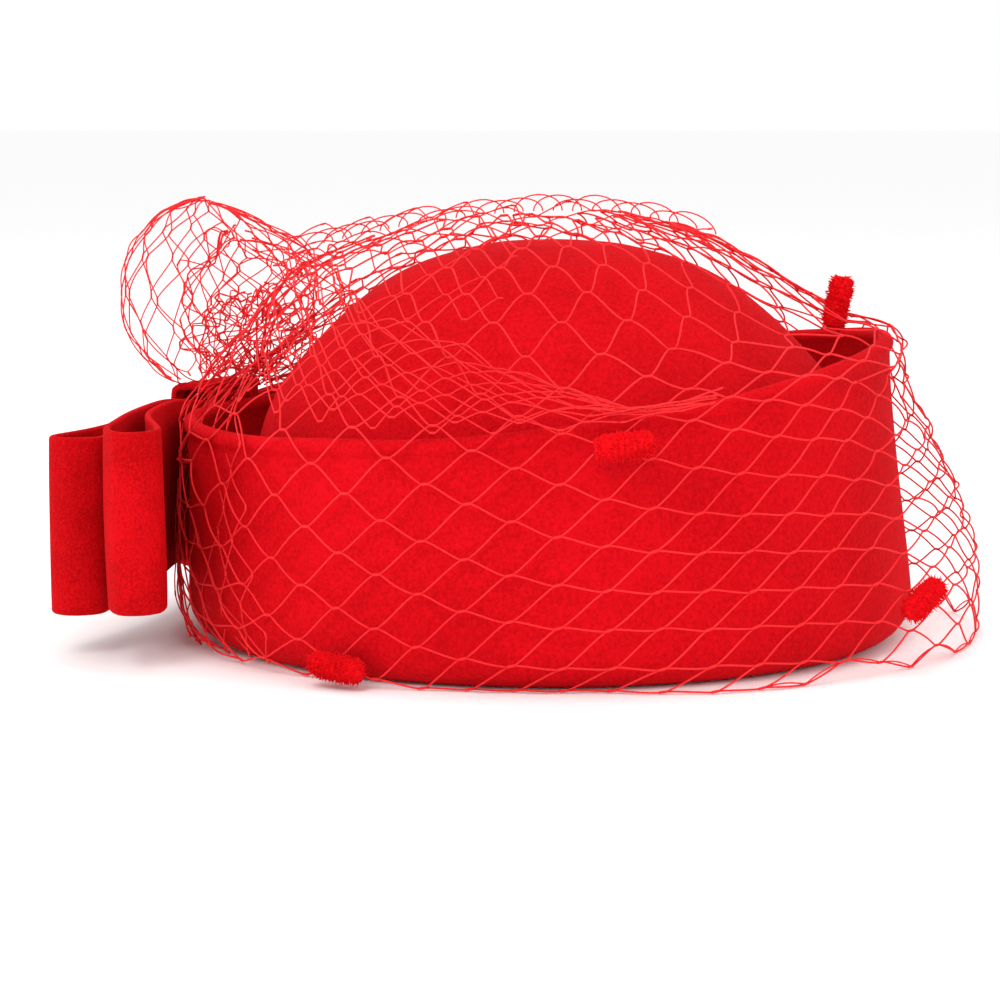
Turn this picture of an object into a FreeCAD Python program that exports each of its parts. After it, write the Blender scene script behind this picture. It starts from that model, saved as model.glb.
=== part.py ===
import FreeCAD, Part
import math
import os

# Frame: millimetres, +Z up, origin at the centre of the hat's base.
# +X is the front of the hat, -Y the side the viewer sees, the bow is at the back (-X).
V = FreeCAD.Vector

# ---------------------------------------------------------------- driving dimensions
FELT = 2.6                     # felt thickness
FIT_GAP = 0.15                 # air between pieces that lie on one another

CROWN_CENTRE_X = 2.0
CROWN_Y_SCALE = 0.917          # the crown is an oval: depth over length
# Half-length of the crown at each height, from the base to the top.
CROWN_PROFILE = [(92.0, 2.6), (92.0, 22.0), (91.3, 42.0), (89.0, 59.4), (84.0, 72.1),
                 (74.3, 84.2), (64.3, 94.4), (51.5, 104.6), (38.5, 111.1), (22.0, 115.3), (0.0, 116.5)]

CUFF_LENGTH_HALF = 108.9       # half-length of the cuff outside, at its widest
CUFF_SIDE_LESS = 11.2          # the cuff is this much narrower than long, on each half
CUFF_CORNER = 11.0             # radius of the corner between the base and the wall
CUFF_TAPER = 0.063             # the wall closes in by this much for each mm of height
CUFF_LEAN = -0.044             # and its centre moves back by this much
CUFF_TOP_LEVEL = 98.0          # height of the blank before the lip is cut
LIP_MIDDLE = 71.5              # lip height = middle + slope x + bend x^2
LIP_SLOPE = 0.1227
LIP_BEND = 0.000545
HEM_RADIUS = 2.3
WIRE_RADIUS = 0.8

BAND_TOP = 32.0                # the sweatband's upper edge
BAND_THICK = 1.0
BAND_GAP = 0.6                 # room for the sweatband's turned edge and stitches
LINING_THICK = 0.6
LINING_SEAM = 88.0             # height of the seam between the lining's side and its tip

# The bow sits on the cuff at the knot. Its own axes: t along the cuff, n out from it.
KNOT = V(-97.5, 44.0, 0)
KNOT_OUT = V(-0.872, 0.490, 0)
KNOT_ALONG = V(0.490, 0.872, 0)
RIBBON_THICK = 1.2
RIBBON_STEPS = 96              # points used to draw the ribbon's inner face
LOWER_BOTTOM = 17.0
LOWER_WIDTH = 51.0
UPPER_BOTTOM = 12.5
UPPER_WIDTH = 51.0
BACKING_LENGTH = 40.0
BACKING_HEIGHT = 42.0
BACKING_FACE = 1.0             # distance of the backing's outer face from the knot's point on the cuff
BACKING_BOTTOM = 19.0
KNOT_BAND_HALF = 13.0
KNOT_BAND_THICK = 1.2
KNOT_BAND_FAR = 18.6           # outer face of the knot band

VEIL_THICK = 0.9
VEIL_SPLIT_X = 4.0             # the lifting half of the veil starts here
VEIL_SPLIT_GAP = 0.6
VEIL_TOP_FLAT = 5.0            # run over rise of the veil where it meets its flat top
# Height, half-length and half-depth of the lifting front half of the veil.
FRONT_LEVELS = [(1.5, 127.6, 104.2), (10.0, 127.0, 104.1), (22.0, 125.4, 104.0), (47.0, 118.6, 103.6),
                (68.5, 113.2, 103.0), (80.0, 109.6, 101.0), (87.0, 107.0, 98.0), (91.8, 100.5, 93.0),
                (96.0, 90.5, 86.5), (102.0, 77.5, 77.5), (110.0, 63.5, 65.0), (118.5, 46.5, 47.5),
                (124.5, 28.0, 28.5), (128.0, 12.0, 12.0)]
# The same for the rear half, which stays on the hat and passes inside the lifting half.
REAR_LEVELS = [(1.5, 111.6, 100.4), (10.0, 111.5, 100.4), (22.0, 111.4, 100.3), (47.0, 111.2, 100.2),
               (64.0, 111.4, 100.0), (73.0, 108.0, 98.0), (82.0, 99.0, 92.5), (90.0, 87.5, 83.5),
               (98.0, 75.5, 73.0), (106.0, 61.0, 60.5), (113.5, 43.0, 43.0), (119.3, 26.5, 27.0),
               (123.0, 12.0, 12.0)]

POUF_HALF = (25.0, 27.0, 31.0)       # along, out, high
POUF_OUT = 5.0                       # centre's distance out from the cuff's face
POUF_CENTRE_Z = 97.0
POUF_OPEN_Z = 76.0
GATHER_HALF = (13.0, 8.5, 8.0)
GATHER_OUT = -3.0
GATHER_CENTRE_Z = 79.2

DOT_LENGTH = 16.0
DOT_WIDTH = 8.0
DOT_STAND_OFF = 0.3
# Angle round the hat from the front, height, and lean of each chenille dot.
FRONT_DOTS = [(-81.0, 67.0, 90.0), (-32.0, 20.0, 30.0), (-8.0, 96.0, 20.0), (48.0, 46.0, 60.0)]
REAR_DOTS = [(-121.0, 6.5, 70.0), (120.0, 96.0, 20.0)]

CLIP_LENGTH = 44.0
CLIP_BASE_Y = -77.6            # outer face of the near clip's fixed plate
CLIP_PLATE = 0.9
CLIP_LOW = 9.0
CLIP_HIGH = 17.0
CLIP_PIN_X = -12.0
CLIP_PIN_Y = -73.7
CLIP_PIN_RADIUS = 0.75
CLIP_PIN_CLEARANCE = 0.05
SPRING_WIRE = 0.3              # radius of the spring's wire
SPRING_INSIDE = 0.95           # inside radius of its coil
SPRING_TURNS = 5

os.makedirs("parts", exist_ok=True)


def save(shape, name):
    """Write one named piece, which has to be sound closed solids."""
    for solid in shape.Solids:
        if not solid.isValid():
            print("NOT VALID", name)
    box = shape.optimalBoundingBox(False)
    print(name, len(shape.Solids), "solid(s), volume", round(shape.Volume, 1),
          [round(v, 1) for v in (box.XMin, box.XMax, box.YMin, box.YMax, box.ZMin, box.ZMax)])
    shape.exportStep("parts/" + name + ".step")


def smooth_edge(points, closed=False):
    """Return one smooth curve through the points."""
    curve = Part.BSplineCurve()
    if closed:
        curve.interpolate(points, PeriodicFlag=True)
    else:
        curve.interpolate(points)
    return curve.toShape()


def stretched_y(shape, factor):
    """Return the shape scaled by the factor along Y only."""
    matrix = FreeCAD.Matrix()
    matrix.scale(1.0, factor, 1.0)
    return shape.transformGeometry(matrix)


def bow_placed(shape):
    """Move a shape built in the bow's axes (x along, y out) onto the cuff."""
    turn = FreeCAD.Rotation(V(1, 0, 0), KNOT_ALONG)
    moved = shape.copy()
    moved.Placement = FreeCAD.Placement(KNOT, turn).multiply(shape.Placement)
    return moved


# ---------------------------------------------------------------- crown and its inside
def inset_profile(inset):
    """Return the crown's profile moved inwards, square to itself."""
    moved = []
    last = len(CROWN_PROFILE) - 1
    for index, (radius, height) in enumerate(CROWN_PROFILE):
        before = CROWN_PROFILE[max(index - 1, 0)]
        after = CROWN_PROFILE[min(index + 1, last)]
        along_r = after[0] - before[0]
        along_z = after[1] - before[1]
        length = math.hypot(along_r, along_z)
        if index == last:
            moved.append((0.0, height - inset))
        elif index == 0:
            moved.append((radius - inset, height))
        else:
            moved.append((radius - inset * along_z / length, height + inset * along_r / length))
    return moved


def dome_skin(outer_inset, inner_inset):
    """Return the closed skin between two insets of the crown's outside, as an oval dome."""
    outer = [V(r, 0, z) for r, z in inset_profile(outer_inset)]
    inner = [V(r, 0, z) for r, z in inset_profile(inner_inset)]
    section = Part.Face(Part.Wire([
        smooth_edge(outer),
        Part.makeLine(outer[-1], inner[-1]),
        smooth_edge(list(reversed(inner))),
        Part.makeLine(inner[0], outer[0])]))
    dome = section.revolve(V(0, 0, 0), V(0, 0, 1), 360)
    dome = stretched_y(dome, CROWN_Y_SCALE)
    dome.translate(V(CROWN_CENTRE_X, 0, 0))
    return dome


def oval_column(half_length, low, high):
    """Return an upright oval column with the crown's proportions."""
    column = Part.makeCylinder(half_length, high - low, V(0, 0, low))
    column = stretched_y(column, CROWN_Y_SCALE)
    column.translate(V(CROWN_CENTRE_X, 0, 0))
    return column


def slab(low, high):
    """Return a wide block between two heights."""
    width = 400.0
    return Part.makeBox(width, width, high - low, V(-width / 2, -width / 2, low))


def make_crown():
    return dome_skin(0.0, FELT)


def make_sweatband():
    outside = CROWN_PROFILE[0][0] - FELT - BAND_GAP
    low = 0.8
    outer = oval_column(outside, low, BAND_TOP)
    inner = oval_column(outside - BAND_THICK, low - 1, BAND_TOP + 1)
    return outer.cut(inner)


def make_lining():
    """Return the side and the tip of the lining."""
    skin = dome_skin(FELT + 2 * FIT_GAP, FELT + 2 * FIT_GAP + LINING_THICK)
    side = skin.common(slab(BAND_TOP + FIT_GAP, LINING_SEAM))
    tip = skin.common(slab(LINING_SEAM + FIT_GAP, 200.0))
    return side, tip


# ---------------------------------------------------------------- cuff
def oval(half_length, half_depth, z, centre_x=0.0):
    """Return one level oval wire."""
    if half_length >= half_depth:
        ellipse = Part.Ellipse(V(centre_x, 0, z), half_length, half_depth)
        edge = ellipse.toShape()
    else:
        ellipse = Part.Ellipse(V(centre_x, 0, z), half_depth, half_length)
        edge = ellipse.toShape()
        edge.rotate(V(centre_x, 0, z), V(0, 0, 1), 90)
    return Part.Wire([edge])


def cuff_size(z, inset):
    """Return the half-length, half-depth and centre of the cuff's wall at a height."""
    rise = max(z - CUFF_CORNER, 0.0)
    half_length = CUFF_LENGTH_HALF - CUFF_TAPER * rise - inset
    return half_length, half_length - CUFF_SIDE_LESS, CUFF_LEAN * rise


def cuff_blank(inset):
    """Return the solid bowl bounded by the cuff's wall, with a rounded lower corner."""
    corner_centre = CUFF_LENGTH_HALF - CUFF_CORNER
    radius = CUFF_CORNER - inset
    levels = []
    for angle in (0, 22.5, 45, 67.5):
        turn = math.radians(angle)
        half_length = corner_centre + radius * math.sin(turn)
        levels.append((CUFF_CORNER - radius * math.cos(turn), half_length, 0.0))
    for z in (CUFF_CORNER, 32.0, 54.0, 76.0, CUFF_TOP_LEVEL):
        half_length, _, centre = cuff_size(z, inset)
        levels.append((z, half_length, centre))
    wires = [oval(length, length - CUFF_SIDE_LESS, z, centre) for z, length, centre in levels]
    return Part.makeLoft(wires, True, False)


def lip_height(x):
    """Return the height of the cuff's lip above the table at a position along the hat."""
    return LIP_MIDDLE + LIP_SLOPE * x + LIP_BEND * x * x


def lip_points(inset, drop, count=36):
    """Return points round the lip, inset from the wall's outside and dropped below its top."""
    points = []
    for step in range(count):
        angle = 2 * math.pi * step / count
        x = 0.0
        z = LIP_MIDDLE
        for _ in range(6):
            half_length, half_depth, centre = cuff_size(z, inset)
            x = centre + half_length * math.cos(angle)
            z = lip_height(x) - drop
        points.append(V(x, half_depth * math.sin(angle), z))
    return points


def lip_cutter(drop):
    """Return the block of everything higher than the lip, less the drop."""
    reach = 130.0
    steps = 12
    points = [V(-reach + 2 * reach * i / steps, -reach, 0) for i in range(steps + 1)]
    for point in points:
        point.z = lip_height(point.x) - drop
    high = 160.0
    edge = smooth_edge(points)
    sides = Part.makePolygon([points[-1], V(reach, -reach, high), V(-reach, -reach, high), points[0]])
    face = Part.Face(Part.Wire([edge] + sides.Edges))
    return face.extrude(V(0, 2 * reach, 0))


def lip_tube(radius):
    """Return a round rod that runs all the way along the middle of the hem, made in two halves."""
    curve = Part.BSplineCurve()
    curve.interpolate(lip_points(FELT / 2, HEM_RADIUS), PeriodicFlag=True)
    first = curve.FirstParameter
    last = curve.LastParameter
    middle = (first + last) / 2
    halves = []
    for begin, end in ((first, middle), (middle, last)):
        path = curve.toShape(begin, end)
        ring = Part.Wire([Part.makeCircle(radius, path.valueAt(begin), path.tangentAt(begin))])
        halves.append(Part.Wire([path]).makePipeShell([ring], True, True))
    return halves[0].fuse(halves[1])


def make_cuff():
    """Return the cuff with its flat base ring and its hem, hollow where the wire lies."""
    wall = cuff_blank(0.0).cut(cuff_blank(FELT))
    hole = oval_column(CROWN_PROFILE[0][0] - FELT, -1.0, FELT + 1.0)
    wall = wall.cut(hole).cut(lip_cutter(HEM_RADIUS))
    hem = lip_tube(HEM_RADIUS).cut(lip_tube(WIRE_RADIUS + 0.05))
    channel = lip_tube(WIRE_RADIUS + 0.05)
    return wall.cut(channel).fuse(hem)


# ---------------------------------------------------------------- bow
def ribbon_loop(half_points, bottom, width):
    """Return one ribbon that runs out, round and back on both sides of the knot."""
    right = list(half_points)
    left = [(-t, n) for t, n in reversed(half_points) if t != 0]
    outside = smooth_edge([V(t, n, bottom) for t, n in right + left], closed=True)
    inner_points = []
    for step in range(RIBBON_STEPS):
        first, last = outside.ParameterRange
        at = first + (last - first) * step / RIBBON_STEPS
        inward = outside.tangentAt(at).cross(V(0, 0, 1)) * -1.0
        inner_points.append(outside.valueAt(at) + inward * RIBBON_THICK)
    inside = smooth_edge(inner_points, closed=True)
    section = Part.makeFace([Part.Wire([outside]), Part.Wire([inside])], "Part::FaceMakerBullseye")
    return bow_placed(section.extrude(V(0, 0, width)))


def make_lower_loops():
    half = [(0, 3.2), (22, 2.3), (44, -6.2), (75, -22.4), (96, -41.5), (105, -43.5),
            (109.5, -36), (105, -27.5), (90, -20.2), (62, -8.4), (30, 4.4), (0, 7.8)]
    return ribbon_loop(half, LOWER_BOTTOM, LOWER_WIDTH)


def make_upper_loops():
    half = [(0, 10.2), (22, 8.6), (45, 1.4), (70, -8.2), (89, -16.6), (97, -17.6), (103.0, -11.5),
            (98.5, -3.2), (75, 0.6), (41.7, 7.2), (16.3, 15.0), (0, 16.2)]
    return ribbon_loop(half, UPPER_BOTTOM, UPPER_WIDTH)


def make_backing():
    depth = 12.0
    block = Part.makeBox(BACKING_LENGTH, depth, BACKING_HEIGHT,
                         V(-BACKING_LENGTH / 2, BACKING_FACE - depth, BACKING_BOTTOM))
    return bow_placed(block).cut(cuff_blank(-FIT_GAP))


def make_knot():
    """Return the band that goes round both ribbon layers."""
    low = UPPER_BOTTOM - 0.5
    high = LOWER_BOTTOM + LOWER_WIDTH + 0.5
    near = BACKING_FACE + FIT_GAP
    thick = KNOT_BAND_THICK
    outer = Part.makeBox(2 * KNOT_BAND_HALF, KNOT_BAND_FAR - near, high - low + 2 * thick,
                         V(-KNOT_BAND_HALF, near, low - thick))
    inner = Part.makeBox(2 * KNOT_BAND_HALF + 2, KNOT_BAND_FAR - near - 2 * thick, high - low,
                         V(-KNOT_BAND_HALF - 1, near + thick, low))
    return bow_placed(outer.cut(inner))


# ---------------------------------------------------------------- veil
def veil_blank(levels, inset):
    """Return the solid body bounded by the veil, closed at the hem and at the top."""
    wires = []
    last = len(levels) - 1
    for index, (z, half_length, half_depth) in enumerate(levels):
        flat = 0.0
        if index == last:
            flat = VEIL_TOP_FLAT
        elif index > 0:
            above = levels[index + 1]
            below = levels[index - 1]
            flat = abs((above[1] - below[1]) / (above[0] - below[0]))
        drop = inset * flat / math.hypot(1.0, flat)
        side = inset / math.hypot(1.0, flat)
        wires.append(oval(half_length - side, half_depth - side, z - drop))
    return Part.makeLoft(wires, True, False)


def bow_room():
    """Return the space kept free of the rear veil for the bow, the gather and the pouf."""
    low_part = Part.makeBox(260, 90, 80, V(-130, -16, -5))
    high_part = Part.makeBox(76, 110, 120, V(-38, -30, 66))
    return bow_placed(low_part).fuse(bow_placed(high_part))


def make_veil_front():
    skin = veil_blank(FRONT_LEVELS, 0.0).cut(veil_blank(FRONT_LEVELS, VEIL_THICK))
    start = VEIL_SPLIT_X + VEIL_SPLIT_GAP
    return skin.common(Part.makeBox(200, 300, 200, V(start, -150, -5)))


def make_veil_rear():
    skin = veil_blank(REAR_LEVELS, 0.0).cut(veil_blank(REAR_LEVELS, VEIL_THICK))
    skin = skin.common(Part.makeBox(200, 300, 200, V(VEIL_SPLIT_X - 200, -150, -5)))
    return skin.cut(bow_room())


def bow_ellipsoid(half_sizes, along, out, z):
    """Return an ellipsoid set in the bow's axes."""
    ball = Part.makeSphere(1.0)
    matrix = FreeCAD.Matrix()
    matrix.scale(*half_sizes)
    ball = ball.transformGeometry(matrix)
    ball.translate(V(along, out, z))
    return bow_placed(ball)


def make_pouf():
    outer = bow_ellipsoid(POUF_HALF, 0, POUF_OUT, POUF_CENTRE_Z)
    inner = bow_ellipsoid([h - VEIL_THICK for h in POUF_HALF], 0, POUF_OUT, POUF_CENTRE_Z)
    return outer.cut(inner).common(slab(POUF_OPEN_Z, 200))


def make_gather():
    return bow_ellipsoid(GATHER_HALF, 0, GATHER_OUT, GATHER_CENTRE_Z)


def level_size(levels, z):
    """Return the veil's half-length and half-depth at a height."""
    for (z0, a0, b0), (z1, a1, b1) in zip(levels, levels[1:]):
        if z0 <= z <= z1:
            share = (z - z0) / (z1 - z0)
            return a0 + share * (a1 - a0), b0 + share * (b1 - b0), (a1 - a0) / (z1 - z0)
    return levels[0][1], levels[0][2], 0.0


def make_dots(levels, places):
    """Return the chenille dots that sit on one half of the veil."""
    dots = []
    for angle, height, lean in places:
        half_length, half_depth, slope = level_size(levels, height)
        turn = math.radians(angle)
        x = half_length * math.cos(turn)
        y = half_depth * math.sin(turn)
        outward = V(math.cos(turn) / half_length, math.sin(turn) / half_depth, 0).normalize()
        outward = (outward - V(0, 0, slope)).normalize()
        sideways = V(0, 0, 1).cross(outward).normalize()
        upward = outward.cross(sideways)
        swing = math.radians(lean)
        length_axis = upward * math.cos(swing) + sideways * math.sin(swing)
        dot = Part.makeSphere(1.0)
        matrix = FreeCAD.Matrix()
        matrix.scale(DOT_WIDTH / 2, DOT_WIDTH / 2, DOT_LENGTH / 2)
        dot = dot.transformGeometry(matrix)
        dot.Placement = FreeCAD.Placement(V(0, 0, 0), FreeCAD.Rotation(V(0, 0, 1), length_axis))
        dot.translate(V(x, y, height) + outward * (DOT_WIDTH / 2 + DOT_STAND_OFF))
        dots.append(dot)
    return Part.makeCompound(dots)


# ---------------------------------------------------------------- hair clips
def box(x0, x1, y0, y1, z0, z1):
    """Return a block between two corners."""
    return Part.makeBox(x1 - x0, y1 - y0, z1 - z0, V(x0, y0, z0))


def other_side(shape):
    """Return a copy turned half round the middle of the crown."""
    copy = shape.copy()
    copy.rotate(V(CROWN_CENTRE_X, 0, 0), V(0, 0, 1), 180)
    return copy


def both_sides(shape):
    return Part.makeCompound([shape, other_side(shape)])


CLIP_START = CROWN_CENTRE_X - CLIP_LENGTH / 2
CLIP_END = CROWN_CENTRE_X + CLIP_LENGTH / 2
PLATE_FACE = CLIP_BASE_Y + CLIP_PLATE


def make_tab():
    """Return the ribbon tab that fills the space between the sweatband and the clip."""
    face = oval_column(CROWN_PROFILE[0][0] - FELT - BAND_GAP - BAND_THICK - FIT_GAP, 0, 60)
    block = box(CLIP_START, CLIP_END, CLIP_BASE_Y - 6, CLIP_BASE_Y - FIT_GAP, CLIP_LOW - 3, CLIP_HIGH + 3)
    return block.common(face)


def pin_cylinder(radius, low, high):
    return Part.makeCylinder(radius, high - low, V(CLIP_PIN_X, CLIP_PIN_Y, low))


def make_clip_base():
    """Return the fixed plate with the two ears that carry the pin."""
    plate = box(CLIP_START, CLIP_END, CLIP_BASE_Y, PLATE_FACE, CLIP_LOW, CLIP_HIGH)
    ears = []
    for low in (CLIP_LOW, CLIP_HIGH - 1.0):
        ear = box(CLIP_PIN_X - 2, CLIP_PIN_X + 2, CLIP_BASE_Y, CLIP_PIN_Y, low, low + 1.0)
        ears.append(ear.fuse(pin_cylinder(2.0, low, low + 1.0)))
    body = plate.fuse(ears)
    return body.cut(pin_cylinder(CLIP_PIN_RADIUS, CLIP_LOW - 1, CLIP_HIGH + 1)).removeSplitter()


def make_clip_jaw():
    """Return the moving jaw: ears on the pin, a flat blade with a turned tip, and a thumb tail."""
    low = CLIP_LOW + 1.25
    high = CLIP_HIGH - 1.25
    blade_out = CLIP_PIN_Y - 1.4
    blade_in = blade_out + CLIP_PLATE
    blade = box(CLIP_PIN_X, CLIP_END, blade_out, blade_in, low, high)
    tip = box(CLIP_END - 1.2, CLIP_END, PLATE_FACE + 0.2, blade_in, low, high)
    tail_points = [V(CLIP_PIN_X, blade_out, low), V(CLIP_PIN_X - 11, blade_out + 5.0, low),
                   V(CLIP_PIN_X - 11, blade_in + 5.0, low), V(CLIP_PIN_X, blade_in, low),
                   V(CLIP_PIN_X, blade_out, low)]
    tail = Part.Face(Part.makePolygon(tail_points)).extrude(V(0, 0, high - low))
    body = blade.fuse([tip, tail])
    body = body.cut(pin_cylinder(2.3, low + 0.8, high - 0.8))
    for ear_low in (low, high - 0.8):
        body = body.fuse(pin_cylinder(1.9, ear_low, ear_low + 0.8))
    return body.cut(pin_cylinder(CLIP_PIN_RADIUS + CLIP_PIN_CLEARANCE, low - 1, high + 1)).removeSplitter()


def make_clip_spring():
    """Return the close-wound torsion coil that sits round the pin between the jaw's ears."""
    low = (CLIP_LOW + CLIP_HIGH) / 2 - SPRING_TURNS * SPRING_WIRE
    waist = SPRING_INSIDE + SPRING_WIRE
    edges = []
    for turn in range(SPRING_TURNS):
        z = low + 2 * SPRING_WIRE * turn
        edges.append(Part.Arc(V(waist, 0, z), V(waist + SPRING_WIRE, 0, z + SPRING_WIRE),
                              V(waist, 0, z + 2 * SPRING_WIRE)).toShape())
    high = low + 2 * SPRING_WIRE * SPRING_TURNS
    edges.append(Part.makeLine(V(waist, 0, high), V(SPRING_INSIDE, 0, high)))
    edges.append(Part.makeLine(V(SPRING_INSIDE, 0, high), V(SPRING_INSIDE, 0, low)))
    edges.append(Part.makeLine(V(SPRING_INSIDE, 0, low), V(waist, 0, low)))
    coil = Part.Face(Part.Wire(edges)).revolve(V(0, 0, 0), V(0, 0, 1), 360)
    coil.translate(V(CLIP_PIN_X, CLIP_PIN_Y, 0))
    return coil


def make_pin():
    return pin_cylinder(CLIP_PIN_RADIUS, CLIP_LOW - 0.4, CLIP_HIGH + 0.4)


# ---------------------------------------------------------------- write every piece
save(make_crown(), "crown")
save(make_cuff(), "cuff")
save(lip_tube(WIRE_RADIUS), "lip_wire")
save(make_sweatband(), "sweatband")
lining_side, lining_tip = make_lining()
save(lining_side, "lining_side")
save(lining_tip, "lining_tip")
save(make_backing(), "bow_backing")
save(make_lower_loops(), "bow_lower_loops")
save(make_upper_loops(), "bow_upper_loops")
save(make_knot(), "bow_knot")
save(make_veil_front(), "veil_front")
save(make_veil_rear(), "veil_rear")
save(make_pouf(), "veil_pouf")
save(make_gather(), "veil_gather")
save(make_dots(FRONT_LEVELS, FRONT_DOTS), "dots_front")
save(make_dots(REAR_LEVELS, REAR_DOTS), "dots_rear")
clip_base = make_clip_base()
clip_jaw = make_clip_jaw()
save(both_sides(make_tab()), "clip_tabs")
save(clip_base, "clip_base_near")
save(other_side(clip_base), "clip_base_far")
save(clip_jaw, "clip_jaw_near")
save(other_side(clip_jaw), "clip_jaw_far")
save(both_sides(make_pin()), "clip_pins")
save(both_sides(make_clip_spring()), "clip_springs")
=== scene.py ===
import math

import bmesh
import bpy
import numpy as np
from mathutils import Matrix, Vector


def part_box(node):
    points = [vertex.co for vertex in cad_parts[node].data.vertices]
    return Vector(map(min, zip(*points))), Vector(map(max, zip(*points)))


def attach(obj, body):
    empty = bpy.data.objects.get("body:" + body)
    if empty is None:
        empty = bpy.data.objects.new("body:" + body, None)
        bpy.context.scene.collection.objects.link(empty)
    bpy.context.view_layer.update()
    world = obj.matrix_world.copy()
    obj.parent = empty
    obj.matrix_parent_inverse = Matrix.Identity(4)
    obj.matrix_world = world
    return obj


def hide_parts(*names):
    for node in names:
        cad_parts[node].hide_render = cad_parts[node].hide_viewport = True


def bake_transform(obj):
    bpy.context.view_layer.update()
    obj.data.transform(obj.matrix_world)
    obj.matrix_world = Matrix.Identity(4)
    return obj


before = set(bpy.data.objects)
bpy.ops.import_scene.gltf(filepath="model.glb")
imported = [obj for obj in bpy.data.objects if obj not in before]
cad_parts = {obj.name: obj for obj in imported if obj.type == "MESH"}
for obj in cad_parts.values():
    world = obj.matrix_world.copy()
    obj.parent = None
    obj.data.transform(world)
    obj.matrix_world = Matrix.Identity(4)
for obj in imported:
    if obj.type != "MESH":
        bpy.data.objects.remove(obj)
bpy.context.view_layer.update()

# ------------------------------------------------------------------ sizes, in hat millimetres
cuff_low, cuff_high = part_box("cuff")
crown_low, crown_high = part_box("crown")
MM = (cuff_high[0] - cuff_low[0]) / 218.1        # one hat millimetre in metres

FELT = 2.6
CROWN_CENTRE_X = (crown_low[0] + crown_high[0]) / 2 / MM
CROWN_HALF = (crown_high[0] - crown_low[0]) / 2 / MM
CROWN_Y_SCALE = (crown_high[1] - crown_low[1]) / (crown_high[0] - crown_low[0])
CROWN_TOP = crown_high[2] / MM
# Half-length of the crown and the height there, from the base to just short of the top.
CROWN_PROFILE = [(92, 2.6), (92, 22), (91.3, 42), (89, 59.4), (84, 72.1), (74.3, 84.2), (64.3, 94.4),
                 (51.5, 104.6), (38.5, 111.1), (22, 115.3), (11.04, 116.25)]
POLE = 0.4                     # radius of the small hole left in the skin at the very top

CUFF_HALF = 108.9
CUFF_SIDE_LESS = 11.2
CUFF_CORNER = 11.0
CUFF_TAPER = 0.063
CUFF_LEAN = -0.044
LIP_MIDDLE = 71.5
LIP_SLOPE = 0.1227
LIP_BEND = 0.000545
HEM_RADIUS = 2.5
HEM_JOIN = 2.4                 # how far under the middle of the hem's roll the wall meets it

KNOT = np.array([-97.5, 44.0, 0.0])
KNOT_OUT = np.array([-0.872, 0.490, 0.0])
KNOT_ALONG = np.array([0.490, 0.872, 0.0])
GATHER = np.array([-94.0, 42.0, 72.0])
POUF_CENTRE = np.array([-101.9, 46.5, 97.0])

THREAD = 0.28                  # radius of the netting's thread
TAUT_THREAD = 0.22             # and where it is pulled thin, in the folds and the loop
MESH_SIDE = 14.2               # side of one diamond of the netting


# ------------------------------------------------------------------ mesh helpers
def mesh_object(name, points, faces, material, smooth=True):
    """Make an object from points in hat millimetres."""
    mesh = bpy.data.meshes.new(name)
    mesh.from_pydata((np.asarray(points) * MM).tolist(), [], [list(map(int, f)) for f in faces])
    mesh.validate()
    mesh.polygons.foreach_set("use_smooth", [smooth] * len(mesh.polygons))
    mesh.materials.append(material)
    mesh.update()
    piece = bpy.data.objects.new(name, mesh)
    bpy.context.scene.collection.objects.link(piece)
    return piece


def ring_faces(rows, columns, close_rows=True):
    """Return the quads of a grid of points whose columns run round, and its rows too if asked."""
    r = np.arange(rows if close_rows else rows - 1)
    r, c = np.meshgrid(r, np.arange(columns), indexing="ij")
    r2 = (r + 1) % rows
    c2 = (c + 1) % columns
    quads = np.stack([r * columns + c, r * columns + c2, r2 * columns + c2, r2 * columns + c], -1)
    return quads.reshape(-1, 4).tolist()


def closed_sweep(name, grid, material):
    """Make a closed skin from a grid of points whose rows and columns both run round."""
    rows, columns = grid.shape[:2]
    piece = mesh_object(name, grid.reshape(-1, 3), ring_faces(rows, columns), material)
    outward(piece)
    return piece


def outward(piece):
    """Turn every face of a closed mesh to look outwards."""
    work = bmesh.new()
    work.from_mesh(piece.data)
    bmesh.ops.recalc_face_normals(work, faces=work.faces)
    work.to_mesh(piece.data)
    work.free()


def smooth_line(points, count, closed=False):
    """Return evenly spaced points on a smooth curve through the given ones."""
    points = np.asarray(points, float)
    total = len(points)
    span_steps = 24
    fine = []
    spans = total if closed else total - 1
    for i in range(spans):
        if closed:
            p = [points[(i + k) % total] for k in (-1, 0, 1, 2)]
        else:
            p = [points[max(i - 1, 0)], points[i], points[i + 1], points[min(i + 2, total - 1)]]
        for t in np.linspace(0, 1, span_steps, endpoint=False):
            fine.append(0.5 * (2 * p[1] + (p[2] - p[0]) * t
                               + (2 * p[0] - 5 * p[1] + 4 * p[2] - p[3]) * t * t
                               + (3 * p[1] - p[0] - 3 * p[2] + p[3]) * t ** 3))
    if closed:
        fine.append(fine[0])
    else:
        fine.append(points[-1])
    fine = np.array(fine)
    run = np.concatenate([[0], np.cumsum(np.linalg.norm(np.diff(fine, axis=0), axis=1))])
    at = np.linspace(0, run[-1], count, endpoint=not closed)
    return np.stack([np.interp(at, run, fine[:, k]) for k in range(fine.shape[1])], 1)


def ripple(points, seed, size, strength):
    """Return a smooth, repeatable push for each point, as a handful of crossing waves."""
    rng = np.random.default_rng(seed)
    wave_count = 9
    push = np.zeros(len(points))
    for _ in range(wave_count):
        direction = rng.normal(size=3)
        direction /= np.linalg.norm(direction)
        wave = 2 * math.pi / (size * rng.uniform(0.6, 1.6))
        push += np.sin(points @ direction * wave + rng.uniform(0, 6.28))
    return push * strength / math.sqrt(wave_count)


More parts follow.
